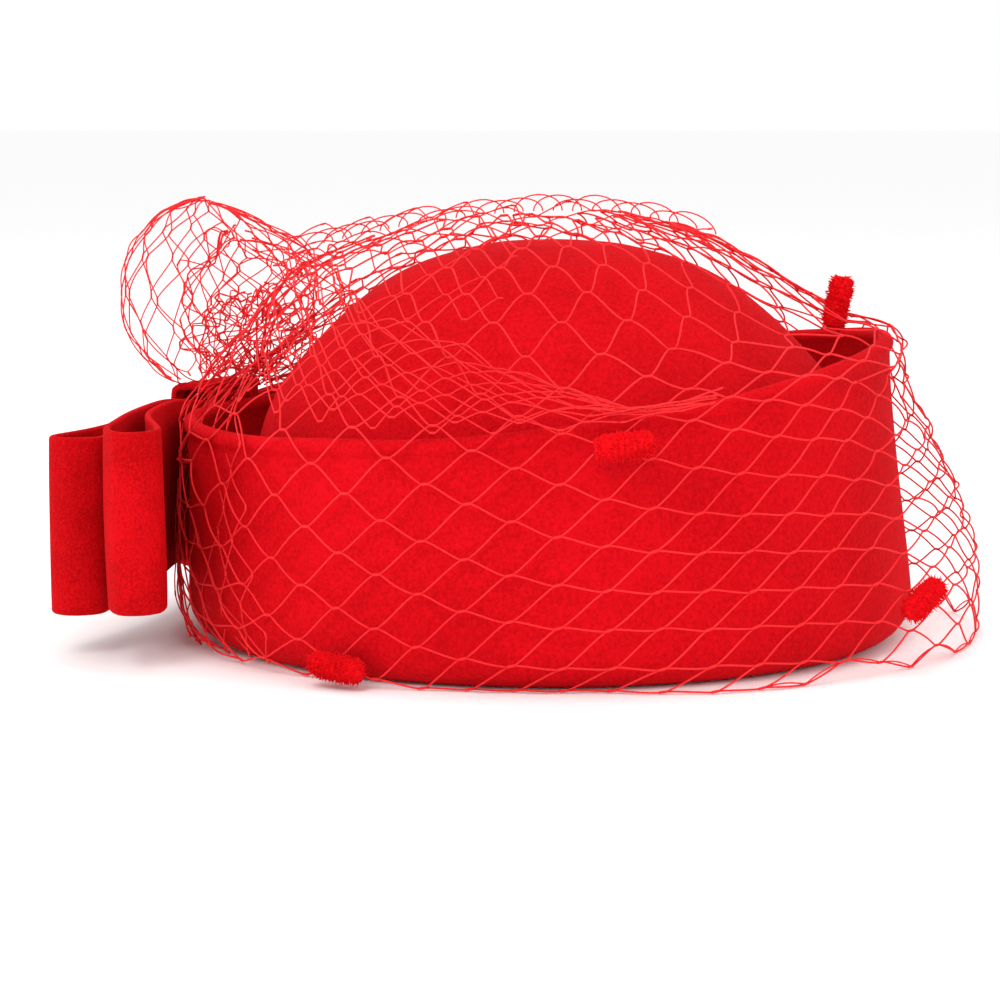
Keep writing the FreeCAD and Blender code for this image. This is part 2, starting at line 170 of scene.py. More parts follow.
def bow_to_hat(along, out, z):
    """Turn positions in the bow's axes into the hat's frame."""
    along = np.asarray(along)[..., None]
    out = np.asarray(out)[..., None]
    z = np.asarray(z)[..., None]
    return KNOT + KNOT_ALONG * along + KNOT_OUT * out + np.array([0, 0, 1.0]) * z


# ------------------------------------------------------------------ materials
def shader_node(tree, kind, **inputs):
    """Add a node and set its inputs, each a constant or another node's output."""
    node = tree.nodes.new(kind)
    for name, value in inputs.items():
        socket = node.inputs[name.replace("_", " ")]
        if isinstance(value, bpy.types.NodeSocket):
            tree.links.new(value, socket)
        else:
            socket.default_value = value
    return node


def cloth(name, colour, dark, fuzz_scale, fuzz_depth, sheen, rough=0.9, blotch=25.0):
    """A fabric: two tones mixed by a fine and a broad noise, a soft sheen and a fine bump."""
    material = bpy.data.materials.new(name)
    material.use_nodes = True
    tree = material.node_tree
    shader = tree.nodes["Principled BSDF"]
    place = tree.nodes.new("ShaderNodeTexCoord").outputs["Object"]
    fine = shader_node(tree, "ShaderNodeTexNoise", Vector=place, Scale=fuzz_scale, Detail=6.0, Roughness=0.7)
    broad = shader_node(tree, "ShaderNodeTexNoise", Vector=place, Scale=blotch, Detail=3.0, Roughness=0.55)
    both = shader_node(tree, "ShaderNodeMix", Factor=0.3)
    tree.links.new(fine.outputs["Fac"], both.inputs["A"])
    tree.links.new(broad.outputs["Fac"], both.inputs["B"])
    tone = tree.nodes.new("ShaderNodeValToRGB")
    tone.color_ramp.elements[0].position = 0.41
    tone.color_ramp.elements[0].color = (*dark, 1)
    tone.color_ramp.elements[1].position = 0.58
    tone.color_ramp.elements[1].color = (*colour, 1)
    tree.links.new(both.outputs[0], tone.inputs["Fac"])
    tree.links.new(tone.outputs["Color"], shader.inputs["Base Color"])
    bump = shader_node(tree, "ShaderNodeBump", Strength=0.6, Distance=fuzz_depth, Height=fine.outputs["Fac"])
    tree.links.new(bump.outputs["Normal"], shader.inputs["Normal"])
    shader.inputs["Roughness"].default_value = rough
    shader.inputs["Sheen Weight"].default_value = sheen
    shader.inputs["Sheen Roughness"].default_value = 0.5
    shader.inputs["Sheen Tint"].default_value = (*colour, 1)
    shader.inputs["Specular IOR Level"].default_value = 0.06
    return material


def ribbed(name, colour, dark, rib, rough=0.6):
    """A ribbed ribbon or pleated satin: fine level waves, as colour and bump."""
    material = bpy.data.materials.new(name)
    material.use_nodes = True
    tree = material.node_tree
    shader = tree.nodes["Principled BSDF"]
    place = tree.nodes.new("ShaderNodeTexCoord").outputs["Object"]
    wave = shader_node(tree, "ShaderNodeTexWave", Vector=place, Scale=rib, Distortion=0.4)
    wave.bands_direction = "Z"
    tone = tree.nodes.new("ShaderNodeValToRGB")
    tone.color_ramp.elements[0].color = (*dark, 1)
    tone.color_ramp.elements[1].color = (*colour, 1)
    tree.links.new(wave.outputs["Fac"], tone.inputs["Fac"])
    tree.links.new(tone.outputs["Color"], shader.inputs["Base Color"])
    bump = shader_node(tree, "ShaderNodeBump", Strength=0.5, Distance=0.0004, Height=wave.outputs["Fac"])
    tree.links.new(bump.outputs["Normal"], shader.inputs["Normal"])
    shader.inputs["Roughness"].default_value = rough
    shader.inputs["Specular IOR Level"].default_value = 0.12
    shader.inputs["Sheen Weight"].default_value = 0.06
    return material


def metal(name, colour, rough):
    """A plated or drawn metal with faint smudges."""
    material = bpy.data.materials.new(name)
    material.use_nodes = True
    tree = material.node_tree
    shader = tree.nodes["Principled BSDF"]
    place = tree.nodes.new("ShaderNodeTexCoord").outputs["Object"]
    smudge = shader_node(tree, "ShaderNodeTexNoise", Vector=place, Scale=160.0, Detail=4.0)
    range_node = shader_node(tree, "ShaderNodeMapRange", Value=smudge.outputs["Fac"])
    range_node.inputs["To Min"].default_value = rough * 0.7
    range_node.inputs["To Max"].default_value = rough * 1.4
    tree.links.new(range_node.outputs["Result"], shader.inputs["Roughness"])
    shader.inputs["Base Color"].default_value = (*colour, 1)
    shader.inputs["Metallic"].default_value = 1.0
    return material


felt_red = cloth("felt_red", (0.64, 0.0025, 0.008), (0.46, 0.001, 0.004), 900.0, 0.0006, sheen=0.08)
velvet_red = cloth("velvet_red", (0.62, 0.002, 0.006), (0.36, 0.0006, 0.002), 1400.0, 0.0005, sheen=0.12,
                   blotch=40.0)
thread_red = cloth("thread_red", (0.85, 0.03, 0.035), (0.68, 0.015, 0.02), 2500.0, 0.00008, rough=0.5,
                   sheen=0.05)
tuft_red = cloth("tuft_red", (0.92, 0.006, 0.012), (0.66, 0.002, 0.005), 1800.0, 0.0002, sheen=0.15)
band_red = ribbed("band_red", (0.40, 0.004, 0.010), (0.24, 0.002, 0.005), 500.0)
satin_red = ribbed("satin_red", (0.50, 0.006, 0.014), (0.36, 0.003, 0.008), 90.0, rough=0.35)
steel = metal("steel", (0.78, 0.78, 0.79), 0.22)
spring_grey = metal("spring_grey", (0.50, 0.50, 0.52), 0.34)
wire_grey = metal("wire_grey", (0.55, 0.55, 0.56), 0.4)


def paint(node, material):
    """Give a CAD node its finish, without touching its mesh."""
    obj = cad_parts[node]
    obj.data.materials.clear()
    obj.data.materials.append(material)
    obj.data.polygons.foreach_set("use_smooth", [False] * len(obj.data.polygons))


# ------------------------------------------------------------------ felt crown
def crown_grid(turn_count=180):
    """Points over the outside and the inside of the crown, from the base over the top and back."""
    fit = CROWN_HALF / CROWN_PROFILE[0][0]
    outer = [(half * fit, z) for half, z in CROWN_PROFILE] + [(POLE, CROWN_TOP)]
    outer = smooth_line(outer, 70)
    inner = outer.copy()
    step = np.gradient(outer, axis=0)
    step /= np.linalg.norm(step, axis=1)[:, None]
    inner[:, 0] = np.maximum(outer[:, 0] - FELT * step[:, 1], POLE)
    inner[:, 1] = outer[:, 1] + FELT * step[:, 0]
    inner[0, 1] = outer[0, 1]
    path = np.concatenate([outer, inner[::-1]])
    turn = np.linspace(0, 2 * math.pi, turn_count, endpoint=False)
    x = CROWN_CENTRE_X + path[:, 0, None] * np.cos(turn)
    y = path[:, 0, None] * CROWN_Y_SCALE * np.sin(turn)
    z = np.repeat(path[:, 1, None], turn_count, 1)
    grid = np.stack([x, y, z], -1)
    sag = ripple(grid.reshape(-1, 3), 4, 70.0, 0.35).reshape(z.shape)
    centre = np.array([CROWN_CENTRE_X, 0, 20.0])
    ray = grid - centre
    ray /= np.linalg.norm(ray, axis=-1)[..., None]
    high = np.clip((z - 40) / 30, 0, 1)[..., None]
    return grid + ray * (sag[..., None] - 0.3) * high


crown = closed_sweep("crown_felt", crown_grid(), felt_red)
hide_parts("crown")
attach(crown, "hat")


# ------------------------------------------------------------------ felt cuff with its rolled lip
def cuff_oval(z, inset, turn):
    """Return x and y on the cuff's wall at a height and a distance in from its outside."""
    rise = np.maximum(z - CUFF_CORNER, 0)
    half = CUFF_HALF - CUFF_TAPER * rise - inset
    return CUFF_LEAN * rise + half * np.cos(turn), (half - CUFF_SIDE_LESS) * np.sin(turn)


def lip_height(turn):
    """Return the height of the lip's top round the cuff."""
    z = np.full_like(turn, LIP_MIDDLE)
    for _ in range(3):
        x, _y = cuff_oval(z, 0, turn)
        z = LIP_MIDDLE + LIP_SLOPE * x + LIP_BEND * x * x
    return z


def cuff_grid(turn_count=260):
    """Points of the cuff's section, run round the hat."""
    turn = np.linspace(0, 2 * math.pi, turn_count, endpoint=False)
    lip = lip_height(turn)
    rows = []
    inner_x = CROWN_CENTRE_X + CROWN_HALF * np.cos(turn)
    inner_y = CROWN_HALF * CROWN_Y_SCALE * np.sin(turn)

    def flange(share, z, edge_inset):
        edge_x, edge_y = cuff_oval(np.full_like(turn, z), edge_inset, turn)
        rows.append(np.stack([inner_x + (edge_x - inner_x) * share, inner_y + (edge_y - inner_y) * share,
                              np.full_like(turn, z)], -1))

    def wall(z, inset):
        z = np.broadcast_to(z, turn.shape).astype(float)
        x, y = cuff_oval(z, inset, turn)
        rows.append(np.stack([x, y, z], -1))

    for share in (0.0, 0.5):
        flange(share, 0.0, CUFF_CORNER)
    for angle in np.radians(np.linspace(0, 90, 9)):
        wall(CUFF_CORNER * (1 - math.cos(angle)), CUFF_CORNER * (1 - math.sin(angle)))
    roll = lip - HEM_RADIUS
    for share in np.linspace(0, 1, 26)[1:]:
        wall(CUFF_CORNER + (roll - HEM_JOIN - CUFF_CORNER) * share, 0.0)
    for angle in np.radians(np.linspace(-42, 222, 15)):
        wall(roll + HEM_RADIUS * math.sin(angle), FELT / 2 - HEM_RADIUS * math.cos(angle))
    for share in np.linspace(1, 0, 12)[1:]:
        wall(CUFF_CORNER + (roll - HEM_JOIN - CUFF_CORNER) * share, FELT)
    small = CUFF_CORNER - FELT
    for angle in np.radians(np.linspace(90, 0, 6))[1:]:
        wall(CUFF_CORNER - small * math.cos(angle), CUFF_CORNER - small * math.sin(angle))
    flange(0.5, FELT, CUFF_CORNER)
    flange(0.0, FELT, CUFF_CORNER)
    grid = np.stack(rows)
    return soft_dents(grid)


# Place along and up the near side, width, height and depth of the dents that the soft felt takes.
DENTS = [(2, 50, 13, 13, 1.6), (40, 52, 16, 11, 1.8), (-40, 44, 20, 9, 0.9), (70, 36, 12, 18, 0.9)]
CREASES = (-28, 42, 42, 20, 0.28)         # the same for one patch of fine creases


def soft_dents(grid):
    """Push the wall in and out a little, as soft felt stands, and crease it beside the bow."""
    points = grid.reshape(-1, 3)
    away = points * np.array([1, 1.1, 0])
    away /= np.linalg.norm(away, axis=1)[:, None]
    push = ripple(points, 11, 85.0, 0.75) + ripple(points, 12, 34.0, 0.22)

    def near_side(x, z, width, height):
        return (points[:, 1] < 0) * np.exp(-((points[:, 0] - x) / width) ** 2
                                           - ((points[:, 2] - z) / height) ** 2)

    for x, z, width, height, depth in DENTS:
        push = push - depth * near_side(x, z, width, height)
    x, z, width, height, depth = CREASES
    push = push - near_side(x, z, width, height) * depth * np.sin(points[:, 2] * 0.75 - points[:, 0] * 0.09
                                                                  + 1.2 * np.sin(points[:, 0] * 0.06))
    free = np.clip(points[:, 2] / 25, 0, 1)
    lip_wave = ripple(points, 13, 60.0, 0.35) * np.clip((points[:, 2] - 50) / 15, 0, 1)
    points = points + away * (push * free)[:, None]
    points[:, 2] += lip_wave
    return points.reshape(grid.shape)


cuff = closed_sweep("cuff_felt", cuff_grid(), felt_red)
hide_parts("cuff")
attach(cuff, "hat")


# ------------------------------------------------------------------ ribbon bow
# Each layer seen from above: distance along the bow and out from the hat, round its right half.
LOWER_OUTLINE = [(0, 3.2), (22, 2.3), (44, -6.2), (75, -22.4), (98, -42.5), (107.5, -44.5), (112.3, -37),
                 (105, -27.5), (90, -20.2), (62, -8.4), (30, 4.4), (0, 7.8)]
UPPER_OUTLINE = [(0, 10.2), (22, 8.6), (45, 1.4), (70, -8.2), (89, -16.6), (97, -17.6), (103, -11.5),
                 (98.5, -3.2), (75, 0.6), (41.7, 7.2), (16.3, 15), (0, 16.2)]
RIBBON_THICK = 2.0
RIBBON_WIDTH = 51.0
RIM = 0.965                    # share of the ribbon's half-width at which its edge starts to round
# Distance out from the hat and height of the knot's band, over its outside and back behind the bow.
BAND_OUTLINE = [(1.4, 12.5), (3.0, 11.2), (9.5, 10.6), (16.0, 11.6), (18.2, 16.0), (18.6, 40.0), (18.2, 64.0),
                (16.0, 69.0), (9.5, 70.0), (3.0, 69.4), (1.4, 67.8), (1.2, 40.0)]
BAND_HALF = 13.0
BAND_MIDDLE = 40


def ribbon_loops(name, outline, bottom, seed):
    """Make a flat loop of ribbon each side of the knot, drawn together where the knot holds it."""
    right = np.array(outline, float)
    left = right[::-1] * np.array([-1, 1])
    line = smooth_line(np.concatenate([right, left[1:-1]]), 360, closed=True)
    ahead = np.roll(line, -1, 0) - np.roll(line, 1, 0)
    ahead /= np.linalg.norm(ahead, axis=1)[:, None]
    side = np.stack([-ahead[:, 1], ahead[:, 0]], 1)
    along = line[:, 0]
    pinch = np.exp(-(along / 26.0) ** 2)
    middle = bottom + RIBBON_WIDTH / 2
    rng = np.random.default_rng(seed)
    waves = rng.uniform(0, 6.28, 4)
    across = np.linspace(-1, 1, 13)
    edge = np.concatenate([[-1.0, -0.995, -0.98, -RIM], across[1:-1] * 0.93, [RIM, 0.98, 0.995, 1.0]])
    rows = []
    for face in (0.0, 1.0):
        for share in (edge if face == 0.0 else edge[::-1]):
            half = RIBBON_WIDTH / 2 * (1 - 0.17 * pinch)
            z = middle + share * half + 0.5 * np.sin(along / 19 + waves[0]) * (1 - pinch)
            wave = (0.8 * np.sin(along / 23 + share * 1.3 + waves[1])
                    + 0.5 * np.sin(along / 11 - share * 2.0 + waves[2])) * (1 - pinch) * 0.6
            pleat = 0.9 * pinch * np.cos(share * 9.0 + waves[3])
            belly = 0.9 * (1 - share ** 2) * np.clip(np.abs(along) / 60, 0, 1)
            rim = math.sqrt(max(1 - (abs(share) * 25.5 - 24.6) ** 2, 0)) if abs(share) > RIM else 1.0
            depth = RIBBON_THICK * (0.5 + (face - 0.5) * rim)
            n = line[:, 1] + side[:, 1] * (depth - belly * 0.5) + wave + pleat
            t = line[:, 0] + side[:, 0] * (depth - belly * 0.5)
            rows.append(bow_to_hat(t, n, z))
    grid = np.stack(rows)
    piece = closed_sweep(name, grid, velvet_red)
    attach(piece, "hat")
    return piece


lower = ribbon_loops("bow_lower_ribbon", LOWER_OUTLINE, 17.0, 21)
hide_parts("bow_lower_loops")
upper = ribbon_loops("bow_upper_ribbon", UPPER_OUTLINE, 12.5, 22)
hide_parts("bow_upper_loops")


def knot_band():
    """Make the pleated band of ribbon that goes round the middle of the bow."""
    line = smooth_line(BAND_OUTLINE, 160, closed=True)
    ahead = np.roll(line, -1, 0) - np.roll(line, 1, 0)
    ahead /= np.linalg.norm(ahead, axis=1)[:, None]
    side = np.stack([ahead[:, 1], -ahead[:, 0]], 1)
    rows = []
    across = np.linspace(-1, 1, 41)
    for face in (0.0, 1.0):
        for share in (across if face == 0.0 else across[::-1]):
            crease = 0.75 * abs(math.sin(share * 7.5 + 0.6))
            depth = -crease - RIBBON_THICK * face
            n = line[:, 0] + side[:, 0] * depth
            z = line[:, 1] + side[:, 1] * depth
            squeeze = 1 - 0.14 * np.exp(-((z - BAND_MIDDLE) / 16) ** 2)
            rows.append(bow_to_hat(share * BAND_HALF * squeeze, n, z))
    piece = closed_sweep("bow_knot_band", np.stack(rows), velvet_red)
    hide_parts("bow_knot")
    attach(piece, "hat")


knot_band()


# ------------------------------------------------------------------ netting: the drape
# Height, half-length to the front, half-length to the back and half-depth of the shape the net lies on.
FORM = np.array([
    (-30, 128.5, 112, 101.5), (0, 128.5, 112, 101.5), (8, 129.4, 111.8, 101.2), (27, 127.4, 111.5, 100.4),
    (47, 120.2, 111.2, 99.6), (68, 109.5, 110.6, 98.2), (76, 104.8, 104.5, 96.0), (88, 102.4, 93.5, 86.0),
    (94, 90.0, 88.5, 79.5), (102, 75.5, 82.0, 70.0), (110, 62.5, 73.0, 58.5), (118, 46.5, 52.0, 45.5),
    (124, 28.5, 34.0, 30.0), (127.0, 14.0, 18.0, 15.0), (128.0, 3.0, 4.0, 3.5), (129, 0.8, 0.8, 0.8)], float)
# Heights at which the net is first laid on the shape, from its lower edge to its upper one.
ROW_HEIGHTS = [-51, -42, -33, -24, -14, -5, 5, 15, 26, 37, 48, 60, 70, 80, 88, 92, 97, 102, 107, 112, 116,
               119, 122, 124, 126]
NET_COLUMNS = 56
NET_ROWS = 29
NET_SLOPE = 0.12               # rise of the rows towards the front when the net is laid on
NET_DRAG = 0.12                # further rise as it is drawn forwards
NEAR_DRAG = 0.17               # and more on the near side, towards the fold
DRAG_FROM_X = -38.0            # where that rise starts
FIRST_TURN = -200              # way round the hat, in degrees, at which the net's first end is laid
NET_TURN = 352                 # and how far round from there it reaches
SETTLE_STEPS = 280
THREAD_PASSES = 14             # rounds of bringing the threads to length in each step
NET_LOWEST = -4.0              # knots that hang lower than this are cut away
FRONT_CUT = 1.2                # rows cut from the upper edge at the front, beyond the one cut all along


def form_value(p):
    """Return how far outside the draped shape each point is, as a share of its size."""
    z = np.clip(p[:, 2], FORM[0, 0], FORM[-1, 0] - 0.1)
    front, back, depth = (np.interp(z, FORM[:, 0], FORM[:, k]) for k in (1, 2, 3))
    return np.hypot(p[:, 0] / np.where(p[:, 0] >= 0, front, back), p[:, 1] / depth) - 1.0


def form_distance(p):
    """Return each point's distance outside the draped shape, and the way outwards."""
    step = 0.4
    value = form_value(p)
    slope = np.stack([(form_value(p + np.eye(3)[k] * step) - form_value(p - np.eye(3)[k] * step)) / (2 * step)
                      for k in range(3)], 1)
    size = np.linalg.norm(slope, axis=1) + 1e-9
    return value / size, slope / size[:, None]


def diamond_lattice(columns, rows, closed=False):
    """Return each knot's column and row, and the threads that join the knots in diamonds."""
    number = {}
    for i in range(columns if closed else columns + 1):
        for j in range(rows + 1):
            if (i + j) % 2 == 0:
                number[i, j] = len(number)
    threads = []
    for (i, j), first in number.items():
        for up in (1, -1):
            other = ((i + 1) % columns if closed else i + 1, j + up)
            if other in number:
                threads.append((first, number[other]))
    place = np.array(list(number), float)
    return place[:, 0], place[:, 1], np.array(threads)


def pull_threads(points, threads, loose, length, passes):
    """Bring every thread back to its length by moving the knots at its ends, slack ones more gently."""
    slack = 0.35
    first, second = threads[:, 0], threads[:, 1]
    share = loose[first] + loose[second] + 1e-9
    count = np.bincount(np.concatenate([first, second]), minlength=len(points))
    for step in range(passes):
        gap = points[second] - points[first]
        run = np.linalg.norm(gap, axis=1) + 1e-9
        stretch = (run - length) / run
        stretch = np.where(stretch < 0, stretch * slack, stretch)
        fix = gap * (stretch / share)[:, None]
        move = np.zeros_like(points)
        np.add.at(move, first, fix * loose[first][:, None])
        np.add.at(move, second, -fix * loose[second][:, None])
        points = points + move / np.maximum(count, 1)[:, None] * 1.6
        if step % 5 == 4:
            away, normal = form_distance(points)
            points = points - normal * np.minimum(away, 0)[:, None]
    return points


def drape_net():
    """Lay the flat net over the hat and let it settle, its two ends caught at the bow."""
    column, row, threads = diamond_lattice(NET_COLUMNS, NET_ROWS)
    turn = np.radians(FIRST_TURN + NET_TURN * column / NET_COLUMNS)
    z = np.interp(row / NET_ROWS * (len(ROW_HEIGHTS) - 1), np.arange(len(ROW_HEIGHTS)), ROW_HEIGHTS)
    front, back, depth = (np.interp(z, FORM[:, 0], FORM[:, k]) for k in (1, 2, 3))
    points = np.stack([np.where(np.cos(turn) >= 0, front, back) * np.cos(turn), depth * np.sin(turn), z], 1)
    points[:, 2] += NET_SLOPE * (points[:, 0] + 10) * np.clip((118 - points[:, 2]) / 90, 0, 1)
    away, normal = form_distance(points)
    points -= normal * away[:, None]
    from_end = np.minimum(column, NET_COLUMNS - column)
    caught = np.clip(1 - from_end / 7.0, 0, 1)[:, None] ** 1.5
    rng = np.random.default_rng(3)
    points = points * (1 - caught) + GATHER * caught + rng.normal(0, 0.3, points.shape)
    held = from_end <= 1
    spread = row / NET_ROWS - 0.5
    hold = GATHER + np.stack([spread * 10, spread * -14 * np.where(column < NET_COLUMNS / 2, 1, -1),
                              spread * 14], 1)
    points[held] = hold[held]
    loose = np.where(held, 0.0, 1.0)
    speed = np.zeros_like(points)
    for _ in range(SETTLE_STEPS):
        _away, normal = form_distance(points)
        before = points
        speed = speed * 0.85 - normal * 0.12
        speed[:, 2] -= 0.02
        points = points + speed * loose[:, None]
        points = pull_threads(points, threads, loose, MESH_SIDE, THREAD_PASSES)
        points[held] = hold[held]
        speed = np.clip((points - before) * 0.9, -3, 3)
    free = np.clip(from_end / 10.0, 0, 1) * np.clip((122 - points[:, 2]) / 70, 0, 1)
    near = np.clip(-points[:, 1] / 70, 0, 1)
    points[:, 2] += (NET_DRAG + NEAR_DRAG * near) * (points[:, 0] - DRAG_FROM_X) * free
    away, normal = form_distance(points)
    points -= normal * (away * free)[:, None]
    return column, row, threads, even_top(column, row, points)


def even_top(column, row, points):
    """Space the knots of the uppermost rows evenly along their rows."""
    number = {(i, j): k for k, (i, j) in enumerate(zip(column.astype(int), row.astype(int)))}
    share = np.clip((row - (NET_ROWS - 9)) / 5, 0, 1)[:, None] * 0.5
    left = np.array([number.get((i - 2, j), number[i, j]) for i, j in zip(column, row)])
    right = np.array([number.get((i + 2, j), number[i, j]) for i, j in zip(column, row)])
    inside = ((left != np.arange(len(points))) & (right != np.arange(len(points))))[:, None]
    for _ in range(24):
        points = points + share * inside * ((points[left] + points[right]) / 2 - points)
        away, normal = form_distance(points)
        points = points - normal * away[:, None] * (share > 0) * inside
    return points


# ------------------------------------------------------------------ netting: the thread
THREAD_STEPS = 6               # straight lengths in one thread between two knots
HEM_FROM_X = 45                # the hem's thread runs across the front, from here
HEM_BELOW = 14                 # over the knots lower than this
HEM_LONGEST = 26               # and leaves wider gaps open


def tube_rings(path, radius, reference, sides):
    """Return the rings of points of many tubes at once; path is tubes x steps x 3."""
    ahead = np.gradient(path, axis=1)
    ahead /= np.linalg.norm(ahead, axis=2)[..., None] + 1e-9
    across = np.cross(ahead, reference[:, None, :])
    across /= np.linalg.norm(across, axis=2)[..., None] + 1e-9
    up = np.cross(across, ahead)
    angle = np.linspace(0, 2 * math.pi, sides, endpoint=False)
    radius = np.asarray(radius)[..., None, None] if np.ndim(radius) else radius
    ring = across[:, :, None, :] * np.cos(angle)[:, None] + up[:, :, None, :] * np.sin(angle)[:, None]
    return path[:, :, None, :] + ring * radius


def tubes(path, radius, reference, sides, start):
    """Return points and faces of many closed tubes."""
    rings = tube_rings(path, radius, reference, sides)
    count, steps = rings.shape[:2]
    points = rings.reshape(-1, 3)
    faces = []
    one = np.array(ring_faces(steps, sides, close_rows=False))
    ends = [list(range(sides))[::-1], [(steps - 1) * sides + k for k in range(sides)]]
    for k in range(count):
        base = start + k * steps * sides
        faces.extend((one + base).tolist())
        faces.extend([[base + v for v in end] for end in ends])
    return points, faces


def net_mesh(name, points, threads, outwards, rng, along=None, sleeve=1.25, sag=0.5, radius=THREAD,
             bend=0.18):
    """Make the net's thread: a bowed length between two knots, and a short coiled sleeve at each knot."""
    first, second = threads[:, 0], threads[:, 1]
    if along is None:
        along = np.zeros_like(points)
        gap = points[second] - points[first]
        gap /= np.linalg.norm(gap, axis=1)[:, None] + 1e-9
        np.add.at(along, first, gap)
        np.add.at(along, second, gap)
        along /= np.linalg.norm(along, axis=1)[:, None] + 1e-9
    chord = points[second] - points[first]
    turn_first = np.sign((chord * along[first]).sum(1))[:, None]
    turn_second = np.sign((chord * along[second]).sum(1))[:, None]
    begin = points[first] + along[first] * turn_first * sleeve * 0.8
    end = points[second] - along[second] * turn_second * sleeve * 0.8
    gap = end - begin
    run = np.linalg.norm(gap, axis=1)[:, None]
    straight = gap / (run + 1e-9)
    leave = along[first] * turn_first * bend + straight * (1 - bend)
    arrive = along[second] * turn_second * bend + straight * (1 - bend)
    t = np.linspace(0, 1, THREAD_STEPS + 1)[None, :, None]
    h00 = 2 * t ** 3 - 3 * t ** 2 + 1
    h10 = t ** 3 - 2 * t ** 2 + t
    h01 = -2 * t ** 3 + 3 * t ** 2
    h11 = t ** 3 - t ** 2
    path = (h00 * begin[:, None] + h10 * (leave * run)[:, None] + h01 * end[:, None]
            + h11 * (arrive * run)[:, None])
    middle = np.sin(np.pi * t)
    lift = (outwards[first] + outwards[second]) / 2
    path = path + middle * (lift * rng.normal(0.3, sag, (len(threads), 1)))[:, None]
    used = np.unique(threads)
    thread_points, thread_faces = tubes(path, radius, lift, 5, 0)
    rib = np.array([0.75, 1.35, 1.1, 1.4, 1.1, 1.35, 0.75]) * radius * 1.15
    place = np.linspace(-1, 1, len(rib))[None, :, None] * sleeve
    sleeve_path = points[used][:, None] + along[used][:, None] * place
    sleeve_points, sleeve_faces = tubes(sleeve_path, np.broadcast_to(rib, sleeve_path.shape[:2]),
                                        outwards[used], 6, len(thread_points))
    piece = mesh_object(name, np.concatenate([thread_points, sleeve_points]), thread_faces + sleeve_faces,
                        thread_red)
    return piece


def tuck_under(points):
    """Turn the net's lower edge in under the corner of the hat, except where it flares at the front."""
    tucked = np.clip((40 - points[:, 0]) / 30, 0, 1)
    deep = np.clip(4.0 - points[:, 2], 0, 7) * tucked
    points = points * np.stack([1 - deep / 100, 1 - deep / 88, np.ones(len(points))], 1)
    points[:, 2] = np.maximum(points[:, 2], 0.6)
    return points


def hem_thread(column, points, kept):
    """Return the hem's thread across the front, from each lowest knot to the next, as paths."""
    lowest = {}
    for k in np.flatnonzero(kept):
        best = lowest.get(column[k])
        if best is None or points[k, 2] < points[best, 2]:
            lowest[column[k]] = k
    line = [lowest[c] for c in sorted(lowest)
            if points[lowest[c], 0] > HEM_FROM_X and points[lowest[c], 2] < HEM_BELOW]
    paths = []
    for a, b in zip(line[:-1], line[1:]):
        if np.linalg.norm(points[a] - points[b]) < HEM_LONGEST:
            t = np.linspace(0, 1, 7)[:, None]
            paths.append(points[a] * (1 - t) + points[b] * t + np.sin(np.pi * t) * [0, 0, 0.8])
    return np.array(paths)


def loose_threads(name, paths):
    """Make threads that run along an edge of the net."""
    points, faces = tubes(paths, TAUT_THREAD, np.tile([0.1, 0.2, 1.0], (len(paths), 1)), 5, 0)
    piece = mesh_object(name, points, faces, thread_red)
    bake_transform(piece)


net_rng = np.random.default_rng(41)
net_column, net_row, net_threads, net_points = drape_net()
front_share = np.clip((net_points[:, 0] + 5) / 35, 0, 1)
kept = (net_points[:, 2] > NET_LOWEST) & (net_row <= NET_ROWS - 1 - FRONT_CUT * front_share)
net_points = tuck_under(net_points)
net_threads = net_threads[kept[net_threads[:, 0]] & kept[net_threads[:, 1]]]
_away, net_outwards = form_distance(net_points)
main_net = net_mesh("veil_net", net_points, net_threads, net_outwards, net_rng)
loose_threads("veil_hem", hem_thread(net_column, net_points, kept))
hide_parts("veil_front", "veil_rear")
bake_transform(main_net)


# ------------------------------------------------------------------ netting: the pouf and the gather
def ball_net(name, centre, half, columns, rows, low, high, seed, push, wobble, slump=0.0):
    """Make a ball of netting round a centre, open at its poles, crumpled by wobble."""
    column, row, threads = diamond_lattice(columns, rows, closed=True)
    rng = np.random.default_rng(seed)
    turn = 2 * math.pi * column / columns + rng.normal(0, 0.03, len(column))
    tilt = np.radians(low + (high - low) * row / rows + rng.normal(0, 2.0, len(column)))
    unit = np.stack([np.cos(tilt) * np.cos(turn), np.cos(tilt) * np.sin(turn), np.sin(tilt)], 1)
    swell = 1 + push * np.sin(turn * 3 + seed) * np.cos(tilt) + rng.normal(0, wobble, len(column))
    local = unit * np.array(half) * swell[:, None]
    points = bow_to_hat(local[:, 0], local[:, 1], local[:, 2]) - KNOT
    forward = np.clip(points[:, 0] / half[1], 0, 1)
    points[:, 2] *= 1 - slump * forward * (points[:, 2] > 0)
    points[:, 0] += slump * 34.0 * forward
    outwards = points / np.linalg.norm(points, axis=1)[:, None]
    side = np.cross(np.array([0, 0, 1.0]), outwards)
    side /= np.linalg.norm(side, axis=1)[:, None] + 1e-9
    upward = np.cross(outwards, side)
    piece = net_mesh(name, points + centre, threads, outwards, rng, along=upward, radius=TAUT_THREAD,
                     bend=0.12)
    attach(piece, "hat")
    return piece


